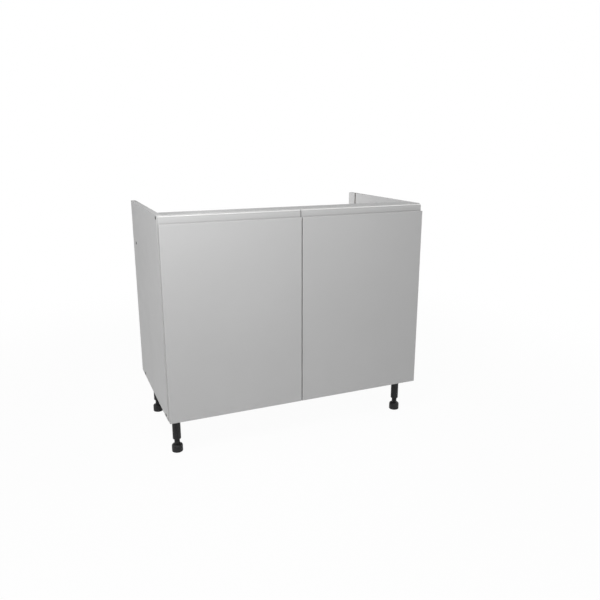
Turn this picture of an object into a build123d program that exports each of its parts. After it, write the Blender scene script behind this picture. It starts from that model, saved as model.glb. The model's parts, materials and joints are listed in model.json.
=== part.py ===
from build123d import *
import math
import os

os.makedirs("parts", exist_ok=True)

# A two-door kitchen sink base unit. Millimetres, +X right, +Y back, +Z up.
# The origin is on the floor, under the middle of the unit's overall box.

# ---- carcass
unit_width = 1000.0
carcass_height = 720.0
side_depth = 545.0
leg_height = 150.0            # floor to the underside of the base
board = 18.0                  # sides, base and rails
panel_gap = 0.05              # a cross panel's end to the side that it butts on
back_thickness = 8.0
back_setback = 56.0           # rear edge of the sides to the rear face of the back
groove_depth = 8.5
groove_play = 0.3             # groove's width over the back's thickness
groove_end_gap = 0.5          # back's edge to the bottom of its groove
base_groove_depth = 6.0
front_rail_depth = 78.0
rear_rail_height = 100.0
rear_rail_drop = 111.0        # top of the sides to the top of the rear rail
worktop_hole_radius = 2.5
worktop_hole_pitch = 700.0

# ---- doors
door_thickness = 22.0
door_gap = 2.0                # back of the doors to the front of the carcass
side_reveal = 1.5
top_reveal = 3.0
middle_gap = 3.0
door_height = carcass_height - top_reveal     # down to the underside of the base
door_edge_round = 1.5
lip_drop = 24.0               # top of the door to the top of the grip's lip
lip_thickness = 5.0
upstand_thickness = 9.0       # what stands behind the grip groove
upstand_round = 5.0
grip_depth = 16.0             # top of the lip to the bottom of the grip groove
buffer_radius = 4.5
buffer_thickness = 1.7
buffer_inset = 14.0           # free edge of the door to a buffer's centre
buffer_rise = 9.0             # end of the door to a buffer's centre

# ---- legs
leg_inset_side = 38.0
leg_inset_front = 61.0
leg_inset_rear = 109.0
flange_size = (60.0, 62.0)
flange_sheet = 4.0
flange_shift = 4.0            # flange's middle inboard of the leg
flange_corner = 6.0
boss_radius = 18.0
boss_height = 24.0
rib_thickness = 3.0
rib_height = 14.0
rib_end_gap = 1.5             # end of a rib to the flange's edge
socket_screw_reach = (-15.0, 26.0)    # leg's axis to the screws, inboard
socket_screw_side = 17.0
tube_radius = 15.0
tube_play = 0.1
tube_insert = 18.0
tube_end = 48.0               # floor to the tube's lower end
tube_chamfer = 2.5
stem_radius = 10.0
stem_play = 0.05
stem_top = 118.0
stem_chamfer = 1.0
foot_radius = 20.0
foot_side = 17.0
foot_shoulder = 29.0
foot_bevel = 1.0

# ---- concealed hinges
hinge_end = 100.0             # end of the door to a hinge's middle
cup_edge = 20.5               # hinge edge of the door to the cup's axis
cup_radius = 17.5
cup_depth = 12.0
cup_wall = 1.2
cup_floor = 1.0
cup_play = 0.1
cup_ear = 1.2
cup_ear_end = 21.0            # side's outer face to the end of the ears
cup_notch_width = 13.0
cup_notch_depth = 5.5
cup_notch_reach = 5.0
wing_size = (17.5, 54.0)
wing_sheet = 1.0
wing_start = 20.0             # side's outer face to the wing
wing_corner = 5.0
cup_screw_x = 31.5
cup_screw_pitch = 45.0
pin_radius = 1.5
pin_play = 0.05
pin_stand = 0.2               # how far a pin's end stands out
# pivots and knees with the door shut: from the side's outer face, and from the carcass front
arm_pin_inner = (35.18, -1.29)
cup_pin_inner = (15.18, -7.51)
arm_pin_outer = (42.0, 26.51)
cup_pin_outer = (11.08, -3.0)
inner_knee = (25.83, -9.31)
outer_knee = (18.07, -4.05)
open_pivot_play = 1.8         # room round the outer link's cup pin
inner_link_width = 8.0
inner_link_strip = 4.2
inner_link_eye = 2.8
fork_room = 1.0               # tongue's eye to the bottom of the link's fork
link_play = 0.2               # each side of a link, beside its neighbour
outer_link_inside = 8.8
outer_link_strip = 3.8
outer_cup_eye = 2.6
outer_arm_eye = 3.2
link_sheet = 1.5
ear_play = 0.3
tongue_width = 4.4
tongue_strip = 3.6
tongue_eye = 2.8
tongue_bend = (40.5, 3.5)
tongue_root = (45.0, 11.0)
arm_play = 0.4                # outer link to the arm's cheeks
arm_sheet = 1.5
arm_crown = 47.0              # side's outer face to the back of the arm
arm_heel = 34.0               # the same, over the mounting plate
arm_sole = 21.4               # the same, at the cheeks' free edges
arm_front = 8.0               # carcass front to the arm's nose
arm_mouth = 24.0              # carcass front to where the cheeks reach the sole
arm_bend = (40.0, 53.0)       # where the arm starts and ends its step down
arm_end = 70.0
arm_screw_y = 61.0
plate_line = 37.0             # carcass front to the mounting plate's screws
plate_pitch = 32.0
plate_size = (18.0, 52.0)
plate_sheet = 2.5
plate_corner = 4.0
rail_play = 1.0               # each side of the plate's rail, inside the arm
rail_height = 12.0
rail_span = (18.0, 66.0)

# ---- fasteners: radii, and lengths over all
screw_play = 0.05
head_sink = 0.3
rim_share = 1 / 3             # of a screw head's height, straight before it tapers
socket_share = 0.8            # of a screw head's height, depth of its socket
carcass_screw = dict(length=50.0, shank=3.5, head=5.0, head_height=3.0, socket=2.0)
back_screw = dict(length=20.0, shank=1.75, head=3.5, head_height=2.0, socket=1.1)
leg_screw = dict(length=14.0, shank=2.0, head=3.8, head_height=2.2, socket=1.2)
cup_screw = dict(length=11.0, shank=1.75, head=3.4, head_height=1.8, socket=1.1)
plate_screw = dict(length=12.0, shank=2.5, head=4.2, head_height=2.2, socket=1.4)
arm_screw = dict(length=11.0, shank=2.0, head=3.4, head_height=1.2, socket=1.2)
screw_line_front = 37.0       # carcass front to the base's front screws
screw_line_rear = 75.0        # rear edge of the sides to the base's rear screws
rail_screw_line = 12.0        # carcass front to the front rail's screws
back_screw_inset = 62.0        # inner face of a side to the nearest screw of the back
back_screw_count = 4
dowel_radius = 4.0
dowel_length = 30.0
dowel_in_side = 10.5
dowel_end_gap = 0.5
dowel_chamfer = 0.8
base_dowel_lines = (133.0, 389.0)     # carcass front to the base's dowels
rail_dowel_line = 50.0
rear_rail_dowel_pitch = 64.0

# ---- places that follow from the sizes
side_x = unit_width / 2
inner_x = side_x - board
cross_width = 2 * (inner_x - panel_gap)
overall_depth = side_depth + door_gap + door_thickness
front_y = door_thickness + door_gap - overall_depth / 2
rear_y = front_y + side_depth
side_mid_y = front_y + side_depth / 2
base_mid_z = leg_height + board / 2
base_top = leg_height + board
top_z = leg_height + carcass_height
side_mid_z = leg_height + carcass_height / 2
groove_width = back_thickness + groove_play
back_mid_y = rear_y - back_setback - back_thickness / 2
rear_rail_y = back_mid_y - groove_width / 2 - board / 2
rear_rail_top = top_z - rear_rail_drop
rear_rail_mid = rear_rail_top - rear_rail_height / 2
back_screw_pitch = 2 * (inner_x - back_screw_inset) / (back_screw_count - 1)
door_back_y = front_y - door_gap
door_front_y = door_back_y - door_thickness
door_top = top_z - top_reveal
door_bottom = door_top - door_height
door_width = (unit_width - 2 * side_reveal - middle_gap) / 2
door_mid_x = side_x - side_reveal - door_width / 2
hinge_heights = {"lower": door_bottom + hinge_end, "upper": door_top - hinge_end}
hands = {"left": -1, "right": 1}
leg_places = {
    "front_left": (-1, front_y + leg_inset_front),
    "front_right": (1, front_y + leg_inset_front),
    "rear_left": (-1, rear_y - leg_inset_rear),
    "rear_right": (1, rear_y - leg_inset_rear),
}
tube_top = leg_height - boss_height + tube_insert
# where the carcass screws and dowels lie: along the depth, and height
screw_spots = [
    (front_y + screw_line_front, base_mid_z),
    (rear_y - screw_line_rear, base_mid_z),
    (front_y + rail_screw_line, top_z - board / 2),
    (rear_rail_y, rear_rail_mid),
]
dowel_spots = [(front_y + line, base_mid_z) for line in base_dowel_lines]
dowel_spots.append((front_y + rail_dowel_line, top_z - board / 2))
dowel_spots += [(rear_rail_y, rear_rail_mid + step * rear_rail_dowel_pitch / 2) for step in (-1, 1)]


def write(part, name):
    """Name a finished sub-part and write it as a file of its own."""
    part.label = name
    export_step(part, f"parts/{name}.step")


def countersunk_screw(length, shank, head, head_height, socket):
    """A countersunk screw with a hexagon socket: its head's face on XY, its shank down -Z."""
    with BuildPart() as screw:
        with BuildSketch(Plane.XZ):
            Polygon(
                (0, 0), (head, 0), (head, -head_height * rim_share), (shank, -head_height),
                (shank, -length + shank), (shank / 3, -length), (0, -length), align=None,
            )
        revolve(axis=Axis.Z)
        with BuildSketch(Plane.XY):
            RegularPolygon(socket, 6)
        extrude(amount=-head_height * socket_share, mode=Mode.SUBTRACT)
    return screw.part


def screw_group(size, planes):
    """Identical screws, one on each plane, whose +Z points out of the head."""
    screw = countersunk_screw(**size)
    with BuildPart() as group:
        with Locations(*planes):
            add(screw)
    return group.part


def drill(planes, size):
    """Cut the holes of a group of screws, with their countersinks, from the part at hand."""
    rim = size["head"] + screw_play
    shank = size["shank"] + screw_play
    rim_height = size["head_height"] * rim_share
    up = (Align.CENTER, Align.CENTER, Align.MIN)
    down = (Align.CENTER, Align.CENTER, Align.MAX)
    with Locations(*planes):
        Cylinder(shank, size["length"] + 1, align=down, mode=Mode.SUBTRACT)
    with Locations(*[plane.offset(-rim_height) for plane in planes]):
        Cylinder(rim, size["length"], align=up, mode=Mode.SUBTRACT)
        Cone(shank, rim, size["head_height"] - rim_height, align=down, mode=Mode.SUBTRACT)


# ---- carcass

def carcass_screw_planes(hand):
    """Planes of the screws whose heads show on the outer face of one side."""
    return [Plane((hand * (side_x - head_sink), y, z), z_dir=(hand, 0, 0)) for y, z in screw_spots]


def dowel_places(hand):
    """Middles of one side's dowels."""
    reach = inner_x + dowel_in_side - dowel_length / 2
    return [(hand * reach, y, z) for y, z in dowel_spots]


def drill_joints(hand):
    """Cut one side's screw and dowel holes, through whatever panel meets it there."""
    drill(carcass_screw_planes(hand), carcass_screw)
    with Locations(*dowel_places(hand)):
        Cylinder(
            dowel_radius + screw_play, dowel_length + 2 * dowel_end_gap,
            rotation=(0, 90, 0), mode=Mode.SUBTRACT,
        )


def back_screw_planes():
    """Planes of the screws that hold the back to the rear rail."""
    places = [(i - (back_screw_count - 1) / 2) * back_screw_pitch for i in range(back_screw_count)]
    y = back_mid_y + back_thickness / 2
    return [Plane((x, y, rear_rail_mid), z_dir=(0, 1, 0)) for x in places]


def leg_screw_planes():
    """Planes of the screws that hold the four leg sockets under the base."""
    planes = []
    for hand, y in leg_places.values():
        for reach in socket_screw_reach:
            for step in (-1, 1):
                x = hand * (side_x - leg_inset_side - reach)
                z = leg_height - flange_sheet
                planes.append(Plane((x, y + step * socket_screw_side, z), z_dir=(0, 0, -1)))
    return planes


def side_panel(hand):
    """An upright side, with a groove from end to end for the back."""
    with BuildPart() as side:
        with Locations((hand * (side_x - board / 2), side_mid_y, side_mid_z)):
            Box(board, side_depth, carcass_height)
        with Locations((hand * inner_x, back_mid_y, side_mid_z)):
            Box(2 * groove_depth, groove_width, carcass_height, mode=Mode.SUBTRACT)
        drill_joints(hand)
        drill(on_both_hinges(plate_screw_planes, hand), plate_screw)
    return side.part


def base_panel():
    """The bottom, with the groove in which the back stands."""
    with BuildPart() as base:
        with Locations((0, side_mid_y, base_mid_z)):
            Box(cross_width, side_depth, board)
        with Locations((0, back_mid_y, base_top)):
            Box(cross_width, groove_width, 2 * base_groove_depth, mode=Mode.SUBTRACT)
        for hand in hands.values():
            drill_joints(hand)
        drill(leg_screw_planes(), leg_screw)
    return base.part


def front_top_rail():
    """The flat rail behind the doors, with two holes for screws up into the worktop."""
    with BuildPart() as rail:
        with Locations((0, front_y + front_rail_depth / 2, top_z - board / 2)):
            Box(cross_width, front_rail_depth, board)
            with GridLocations(worktop_hole_pitch, 0, 2, 1):
                Cylinder(worktop_hole_radius, board, mode=Mode.SUBTRACT)
        for hand in hands.values():
            drill_joints(hand)
    return rail.part


def rear_rail():
    """The upright rail in front of the back, low enough for the sink's bowl and waste."""
    with BuildPart() as rail:
        with Locations((0, rear_rail_y, rear_rail_mid)):
            Box(cross_width, board, rear_rail_height)
        for hand in hands.values():
            drill_joints(hand)
        drill(back_screw_planes(), back_screw)
    return rail.part


def back_panel():
    """The thin back, which ends at the rear rail's top and leaves the pipes their way."""
    width = 2 * (inner_x + groove_depth - groove_end_gap)
    foot_z = base_top - base_groove_depth + groove_end_gap
    with BuildPart() as back:
        with Locations((0, back_mid_y, (foot_z + rear_rail_top) / 2)):
            Box(width, back_thickness, rear_rail_top - foot_z)
        drill(back_screw_planes(), back_screw)
    return back.part


def dowels():
    """Wooden dowels beside the screws, hidden in the joints."""
    with BuildPart() as pins:
        with Locations(*dowel_places(-1), *dowel_places(1)):
            Cylinder(dowel_radius, dowel_length, rotation=(0, 90, 0))
        chamfer(pins.edges().filter_by(GeomType.CIRCLE), dowel_chamfer)
    return pins.part


# ---- doors

def door(hand):
    """A door with a grip groove along its top edge and two bores for the hinge cups."""
    nose = lip_thickness / 2
    lip_z = door_top - lip_drop - nose
    lip_back = door_front_y + lip_thickness
    upstand_y = door_back_y - upstand_thickness
    groove_round = (upstand_y - lip_back) / 2
    groove_z = door_top - lip_drop - grip_depth + groove_round
    shoulder = upstand_round * (1 - math.sqrt(0.5))
    air = 5.0
    with BuildPart() as leaf:
        with Locations((hand * door_mid_x, door_back_y - door_thickness / 2, door_top - door_height / 2)):
            Box(door_width, door_thickness, door_height)
        front = leaf.faces().sort_by(Axis.Y)[0]
        fillet(front.edges().sort_by(Axis.Z)[:-1], door_edge_round)
        # the air over the lip, in the groove and before the upstand
        with BuildSketch(Plane.YZ):
            with BuildLine():
                Polyline((door_front_y - air, door_top + air), (door_front_y - air, lip_z), (door_front_y, lip_z))
                ThreePointArc((door_front_y, lip_z), (door_front_y + nose, lip_z + nose), (lip_back, lip_z))
                Line((lip_back, lip_z), (lip_back, groove_z))
                ThreePointArc(
                    (lip_back, groove_z), (lip_back + groove_round, groove_z - groove_round), (upstand_y, groove_z),
                )
                Line((upstand_y, groove_z), (upstand_y, door_top - upstand_round))
                ThreePointArc(
                    (upstand_y, door_top - upstand_round), (upstand_y + shoulder, door_top - shoulder),
                    (upstand_y + upstand_round, door_top),
                )
                Polyline(
                    (upstand_y + upstand_round, door_top), (upstand_y + upstand_round, door_top + air),
                    (door_front_y - air, door_top + air),
                )
            make_face()
        extrude(amount=unit_width, both=True, mode=Mode.SUBTRACT)
        for height in hinge_heights.values():
            with Locations(Plane((hand * (side_x - cup_x), door_back_y, height), z_dir=(0, 1, 0))):
                Cylinder(
                    cup_radius + cup_play, cup_depth + cup_play,
                    align=(Align.CENTER, Align.CENTER, Align.MAX), mode=Mode.SUBTRACT,
                )
        drill(on_both_hinges(cup_screw_planes, hand), cup_screw)
    return leaf.part


def door_buffers(hand):
    """Soft discs on the back of a door, at its free corners."""
    x = hand * (middle_gap / 2 + buffer_inset)
    heights = (door_bottom + buffer_rise, door_top - buffer_rise)
    with BuildPart() as discs:
        with Locations(*[Plane((x, door_back_y, z), z_dir=(0, 1, 0)) for z in heights]):
            Cylinder(buffer_radius, buffer_thickness, align=(Align.CENTER, Align.CENTER, Align.MIN))
        rims = discs.edges().filter_by(GeomType.CIRCLE).group_by(Axis.Y)[-1]
        fillet(rims, buffer_thickness / 2)
    return discs.part


# ---- legs

def leg_socket(hand, y):
    """The ribbed flange under the base that the leg plugs into."""
    x = hand * (side_x - leg_inset_side)
    flange_z = leg_height - flange_sheet
    # each rib's plane, and how far it reaches on either side of the leg
    ribs = [
        (
            Plane((x, y, flange_z), x_dir=(-hand, 0, 0), z_dir=(0, hand, 0)),
            flange_size[0] / 2 - flange_shift, flange_size[0] / 2 + flange_shift,
        ),
        (Plane((x, y, flange_z), x_dir=(0, 1, 0), z_dir=(1, 0, 0)), flange_size[1] / 2, flange_size[1] / 2),
    ]
    with BuildPart() as socket:
        with BuildSketch(Plane.XY.offset(leg_height)):
            with Locations((x - hand * flange_shift, y)):
                RectangleRounded(*flange_size, flange_corner)
        extrude(amount=-flange_sheet)
        with BuildSketch(Plane.XY.offset(leg_height)):
            with Locations((x, y)):
                Circle(boss_radius)
        extrude(amount=-boss_height)
        for plane, back_reach, front_reach in ribs:
            with BuildSketch(plane):
                Polygon(
                    (rib_end_gap - back_reach, 0), (-boss_radius, -rib_height), (boss_radius, -rib_height),
                    (front_reach - rib_end_gap, 0), align=None,
                )
            extrude(amount=rib_thickness / 2, both=True)
        with BuildSketch(Plane.XY.offset(leg_height - boss_height)):
            with Locations((x, y)):
                Circle(tube_radius + tube_play)
        extrude(amount=tube_insert + tube_play, mode=Mode.SUBTRACT)
        drill(leg_screw_planes(), leg_screw)
    return socket.part


def leg_tube(hand, y):
    """The hollow leg, in which the foot's stem turns."""
    with BuildPart() as tube:
        with Locations((hand * (side_x - leg_inset_side), y, (tube_top + tube_end) / 2)):
            Cylinder(tube_radius, tube_top - tube_end)
        chamfer(tube.edges().filter_by(GeomType.CIRCLE).sort_by(Axis.Z)[0], tube_chamfer)
        with Locations((hand * (side_x - leg_inset_side), y, (tube_top + tube_end) / 2)):
            Cylinder(stem_radius + stem_play, tube_top - tube_end, mode=Mode.SUBTRACT)
    return tube.part


def leg_foot(hand, y):
    """The adjustable foot: a round pad with a domed shoulder, and its long stem."""
    x = hand * (side_x - leg_inset_side)
    dome = math.sqrt(0.5)
    dome_point = (
        stem_radius + (foot_radius - stem_radius) * dome,
        foot_side + (foot_shoulder - foot_side) * dome,
    )
    with BuildPart() as foot:
        with BuildSketch(Plane((x, y, 0), x_dir=(1, 0, 0), z_dir=(0, -1, 0))):
            with BuildLine():
                Polyline((0, 0), (foot_radius - foot_bevel, 0), (foot_radius, foot_bevel), (foot_radius, foot_side))
                ThreePointArc((foot_radius, foot_side), dome_point, (stem_radius, foot_shoulder))
                Polyline(
                    (stem_radius, foot_shoulder), (stem_radius, stem_top - stem_chamfer),
                    (stem_radius - stem_chamfer, stem_top), (0, stem_top), (0, 0),
                )
            make_face()
        revolve(axis=Axis((x, y, 0), (0, 0, 1)))
    return foot.part


# ---- hinges: every piece is drawn for a left-hand door that is shut. X runs inwards from the
# side's outer face, Y back from the carcass front, and Z up from the hinge's middle.

cup_x = side_reveal + cup_edge
cup_mouth = Plane((cup_x, -door_gap, 0), x_dir=(1, 0, 0), z_dir=(0, 1, 0))
outer_link_half = outer_link_inside / 2 + link_sheet
ear_start = outer_link_half + ear_play
ear_stop = ear_start + cup_ear
cheek_start = outer_link_half + arm_play
cheek_stop = cheek_start + arm_sheet
cup_screw_planes = [
    Plane((cup_screw_x, wing_sheet - door_gap, step * cup_screw_pitch / 2), z_dir=(0, 1, 0)) for step in (-1, 1)
]
plate_screw_planes = [
    Plane((board + plate_sheet, plate_line, step * plate_pitch / 2), z_dir=(1, 0, 0)) for step in (-1, 1)
]
arm_screw_planes = [Plane((arm_heel, arm_screw_y, 0), z_dir=(1, 0, 0))]


def on_both_hinges(planes, hand):
    """Planes drawn on one left-hand hinge, as they lie on both hinges of a door."""
    placed = []
    for height in hinge_heights.values():
        for plane in planes:
            place, normal = plane.origin, plane.z_dir
            spot = (hand * (side_x - place.X), front_y + place.Y, height + place.Z)
            placed.append(Plane(spot, z_dir=(-hand * normal.X, normal.Y, normal.Z)))
    return placed


def hinge_piece(drawn, hand, heights):
    """A piece of a left-hand hinge, moved to its heights, and mirrored for the right-hand door."""
    with BuildPart() as placed:
        with Locations(*[(-side_x, front_y, height) for height in heights]):
            add(drawn)
        if hand > 0:
            mirror(about=Plane.YZ, mode=Mode.REPLACE)
    return placed.part


def bent_bar(points, width):
    """Round-ended bars from point to point, added to the sketch at hand."""
    for (x0, y0), (x1, y1) in zip(points, points[1:]):
        with Locations(((x0 + x1) / 2, (y0 + y1) / 2)):
            SlotCenterToCenter(
                math.hypot(x1 - x0, y1 - y0), width, rotation=math.degrees(math.atan2(y1 - y0, x1 - x0)),
            )


def pin_bore(point, length):
    """Cut a pin's bore, with its running play, from the part at hand."""
    with Locations((*point, 0)):
        Cylinder(pin_radius + pin_play, length, mode=Mode.SUBTRACT)


def hinge_cup():
    """The cup in the door: a wing with two screws, and two ears that hold the pins."""
    ear_x = cup_x - math.sqrt((cup_radius - cup_wall / 2) ** 2 - ear_stop ** 2)
    ear_y = -door_gap - cup_depth + cup_floor / 2
    with BuildPart() as cup:
        with BuildSketch(cup_mouth):
            Circle(cup_radius)
        extrude(amount=-cup_depth)
        with BuildSketch(cup_mouth):
            with Locations((wing_start + wing_size[0] / 2 - cup_x, 0)):
                RectangleRounded(*wing_size, wing_corner)
        extrude(amount=wing_sheet)
        with BuildSketch(cup_mouth.offset(wing_sheet)):
            Circle(cup_radius - cup_wall)
        extrude(amount=cup_floor - cup_depth - wing_sheet, mode=Mode.SUBTRACT)
        for z in (ear_start, -ear_stop):
            with BuildSketch(Plane.XY.offset(z)):
                Polygon(
                    (ear_x, ear_y), (cup_ear_end, ear_y), (cup_ear_end, cup_pin_inner[1]),
                    (cup_pin_inner[0], -door_gap), (ear_x, -door_gap), align=None,
                )
            extrude(amount=cup_ear)
        pin_bore(cup_pin_inner, 2 * (ear_stop + pin_stand))
        # the outer link's pin has room here, because this is the pivot left open
        with Locations((*cup_pin_outer, 0)):
            Cylinder(pin_radius + open_pivot_play, 2 * (ear_stop + pin_stand), mode=Mode.SUBTRACT)
        # the arm's tongue dips through the wall on the cabinet's side
        with Locations((cup_x + cup_radius, -door_gap, 0)):
            Box(2 * cup_notch_reach, 2 * cup_notch_depth, cup_notch_width, mode=Mode.SUBTRACT)
        drill(cup_screw_planes, cup_screw)
    return cup.part


def inner_link():
    """The short cranked link, forked round the arm's tongue and barrelled on the cup's pin."""
    with BuildPart() as link:
        with BuildSketch(Plane.XY.offset(-inner_link_width / 2)):
            bent_bar((arm_pin_inner, inner_knee, cup_pin_inner), inner_link_strip)
            with Locations(arm_pin_inner, cup_pin_inner):
                Circle(inner_link_eye)
        extrude(amount=inner_link_width)
        with Locations((*arm_pin_inner, 0)):
            Cylinder(tongue_eye + fork_room, tongue_width + 2 * link_play, mode=Mode.SUBTRACT)
        for point in (arm_pin_inner, cup_pin_inner):
            pin_bore(point, inner_link_width)
    return link.part


def outer_link():
    """The long link: two cranked cheeks, joined by a barrel on the arm's pin."""
    with BuildPart() as link:
        for z in (outer_link_inside / 2, -outer_link_half):
            with BuildSketch(Plane.XY.offset(z)):
                bent_bar((arm_pin_outer, outer_knee, cup_pin_outer), outer_link_strip)
                with Locations(cup_pin_outer):
                    Circle(outer_cup_eye)
            extrude(amount=link_sheet)
        with Locations((*arm_pin_outer, 0)):
            Cylinder(outer_arm_eye, 2 * outer_link_half)
        for point in (arm_pin_outer, cup_pin_outer):
            pin_bore(point, 2 * outer_link_half)
    return link.part


def arm_outline(drop):
    """Side view of the arm, less a given thickness at its back, added to the sketch at hand."""
    Polygon(
        (arm_sole - drop, arm_mouth), (arm_heel - drop, arm_front - drop), (arm_crown - drop, arm_front - drop),
        (arm_crown - drop, arm_bend[0]), (arm_heel - drop, arm_bend[1]), (arm_heel - drop, arm_end + drop),
        (arm_sole - drop, arm_end + drop), align=None,
    )


def hinge_arm():
    """The arm: a folded channel over the mounting plate, with a tongue to the cup."""
    with BuildPart() as arm:
        with BuildSketch(Plane.XY.offset(-cheek_stop)):
            arm_outline(0.0)
        extrude(amount=2 * cheek_stop)
        with BuildSketch(Plane.XY.offset(-cheek_start)):
            arm_outline(arm_sheet)
        extrude(amount=2 * cheek_start, mode=Mode.SUBTRACT)
        with BuildSketch(Plane.XY.offset(-tongue_width / 2)):
            bent_bar((arm_pin_inner, tongue_bend, tongue_root), tongue_strip)
            with Locations(arm_pin_inner):
                Circle(tongue_eye)
        extrude(amount=tongue_width)
        for point in (arm_pin_inner, arm_pin_outer):
            pin_bore(point, 2 * cheek_stop)
        drill(arm_screw_planes, arm_screw)
    return arm.part


def hinge_plate():
    """The cross-shaped mounting plate on the side, with a rail that carries the arm."""
    with BuildPart() as plate:
        with BuildSketch(Plane((board, plate_line, 0), x_dir=(0, 1, 0), z_dir=(1, 0, 0))):
            RectangleRounded(*plate_size, plate_corner)
        extrude(amount=plate_sheet)
        with Locations((board, (rail_span[0] + rail_span[1]) / 2, 0)):
            Box(
                rail_height, rail_span[1] - rail_span[0], 2 * (cheek_start - rail_play),
                align=(Align.MIN, Align.CENTER, Align.CENTER),
            )
        drill(plate_screw_planes, plate_screw)
        drill(arm_screw_planes, arm_screw)
    return plate.part


def arm_pins():
    """The two pins that stay with the arm."""
    with BuildPart() as pins:
        with Locations((*arm_pin_inner, 0)):
            Cylinder(pin_radius, inner_link_width)
        with Locations((*arm_pin_outer, 0)):
            Cylinder(pin_radius, 2 * (cheek_stop + pin_stand))
    return pins.part


def cup_pins():
    """The pin across the cup, on which the inner link turns."""
    with BuildPart() as pins:
        with Locations((*cup_pin_inner, 0)):
            Cylinder(pin_radius, 2 * (ear_stop + pin_stand))
    return pins.part


def link_pins():
    """The two stub pins of the outer link, which reach into the cup's ears."""
    pin_start = outer_link_inside / 2
    pin_stop = ear_stop + pin_stand
    with BuildPart() as pins:
        for step in (-1, 1):
            with Locations((*cup_pin_outer, step * (pin_start + pin_stop) / 2)):
                Cylinder(pin_radius, pin_stop - pin_start)
    return pins.part


# ---- write the files

write(base_panel(), "base_panel")
write(front_top_rail(), "front_top_rail")
write(rear_rail(), "rear_rail")
write(back_panel(), "back_panel")
write(dowels(), "dowels")
write(screw_group(carcass_screw, carcass_screw_planes(-1) + carcass_screw_planes(1)), "carcass_screws")
write(screw_group(back_screw, back_screw_planes()), "back_screws")
write(screw_group(leg_screw, leg_screw_planes()), "leg_socket_screws")

for place, (hand, y) in leg_places.items():
    write(leg_socket(hand, y), f"{place}_leg_socket")
    write(leg_tube(hand, y), f"{place}_leg_tube")
    write(leg_foot(hand, y), f"{place}_leg_foot")

hinge_pieces = {
    "hinge_cup": hinge_cup(),
    "hinge_arm": hinge_arm(),
    "hinge_plate": hinge_plate(),
    "inner_link": inner_link(),
    "outer_link": outer_link(),
}
hinge_pins = {"arm_pins": arm_pins(), "cup_pins": cup_pins(), "link_pins": link_pins()}

for side, hand in hands.items():
    write(side_panel(hand), f"{side}_side_panel")
    write(door(hand), f"{side}_door")
    write(door_buffers(hand), f"{side}_door_buffers")
    for level, height in hinge_heights.items():
        for name, drawn in hinge_pieces.items():
            write(hinge_piece(drawn, hand, [height]), f"{side}_{level}_{name}")
    for name, drawn in hinge_pins.items():
        write(hinge_piece(drawn, hand, hinge_heights.values()), f"{side}_{name}")
    write(screw_group(cup_screw, on_both_hinges(cup_screw_planes, hand)), f"{side}_cup_screws")
    write(screw_group(plate_screw, on_both_hinges(plate_screw_planes, hand)), f"{side}_plate_screws")
    write(screw_group(arm_screw, on_both_hinges(arm_screw_planes, hand)), f"{side}_arm_screws")
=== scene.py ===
# %% [markdown]
# # A kitchen sink base unit
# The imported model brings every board, door, hinge and leg at its real size, in metres, with its
# origin on the floor under the middle of the unit. This lesson dresses it: it gives each surface a
# finish, adds the few small pieces that a drawing leaves out, and lights it like a catalogue
# picture.

# %% Load the frame
import json
import math

import bmesh
import bpy
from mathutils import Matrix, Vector


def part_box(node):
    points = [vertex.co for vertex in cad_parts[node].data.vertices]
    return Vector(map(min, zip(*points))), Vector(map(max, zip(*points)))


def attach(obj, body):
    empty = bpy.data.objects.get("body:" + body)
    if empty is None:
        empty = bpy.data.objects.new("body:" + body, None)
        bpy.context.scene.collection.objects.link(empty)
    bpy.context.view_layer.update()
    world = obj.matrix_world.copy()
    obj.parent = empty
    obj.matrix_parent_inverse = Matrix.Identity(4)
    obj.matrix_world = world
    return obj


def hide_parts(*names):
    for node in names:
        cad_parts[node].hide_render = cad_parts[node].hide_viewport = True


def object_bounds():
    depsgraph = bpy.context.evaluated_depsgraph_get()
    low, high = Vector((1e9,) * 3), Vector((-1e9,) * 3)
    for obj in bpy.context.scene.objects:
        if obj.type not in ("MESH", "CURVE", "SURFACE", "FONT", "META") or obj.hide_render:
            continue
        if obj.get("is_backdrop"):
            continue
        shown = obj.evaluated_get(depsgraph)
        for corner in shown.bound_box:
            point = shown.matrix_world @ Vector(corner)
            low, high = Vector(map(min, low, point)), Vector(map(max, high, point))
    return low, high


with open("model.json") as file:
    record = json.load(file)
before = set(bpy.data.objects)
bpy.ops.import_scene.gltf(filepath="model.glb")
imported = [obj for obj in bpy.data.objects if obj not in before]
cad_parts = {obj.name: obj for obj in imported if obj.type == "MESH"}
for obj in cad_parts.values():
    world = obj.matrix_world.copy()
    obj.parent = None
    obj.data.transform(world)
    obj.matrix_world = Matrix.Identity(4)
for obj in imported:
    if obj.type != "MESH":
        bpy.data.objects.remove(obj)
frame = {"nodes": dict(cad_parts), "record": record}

MM = 0.001
scene = bpy.context.scene
cad_low, cad_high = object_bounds()

# %% [markdown]
# ## Helpers for materials
# A material is a small network of nodes. Wiring it by hand takes three lines a node, so one helper
# adds a node, sets what it says and joins what feeds it, and a few short ones stand on it for the
# nodes that come up again and again. Effects that several finishes share, such as grain or worn
# edges, become node groups with named inputs. One helper opens such a group and another places it.

# %% Helpers for shader nodes
def fill_inputs(tree, node, inputs):
    """Give each named input of a node a value, or a link from another node's socket."""
    for name, value in inputs.items():
        if isinstance(value, bpy.types.NodeSocket):
            tree.links.new(value, node.inputs[name])
        else:
            node.inputs[name].default_value = value


def add_node(tree, kind, inputs=None, **settings):
    """Add a shader node, set its properties, and fill its inputs."""
    added = tree.nodes.new("ShaderNode" + kind)
    for name, value in settings.items():
        setattr(added, name, value)
    fill_inputs(tree, added, inputs or {})
    return added


def calculate(tree, operation, *values, clamp=False):
    """A Math node on numbers or sockets; returns its result socket."""
    numbered = dict(enumerate(values))
    return add_node(tree, "Math", numbered, operation=operation, use_clamp=clamp).outputs[0]


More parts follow.
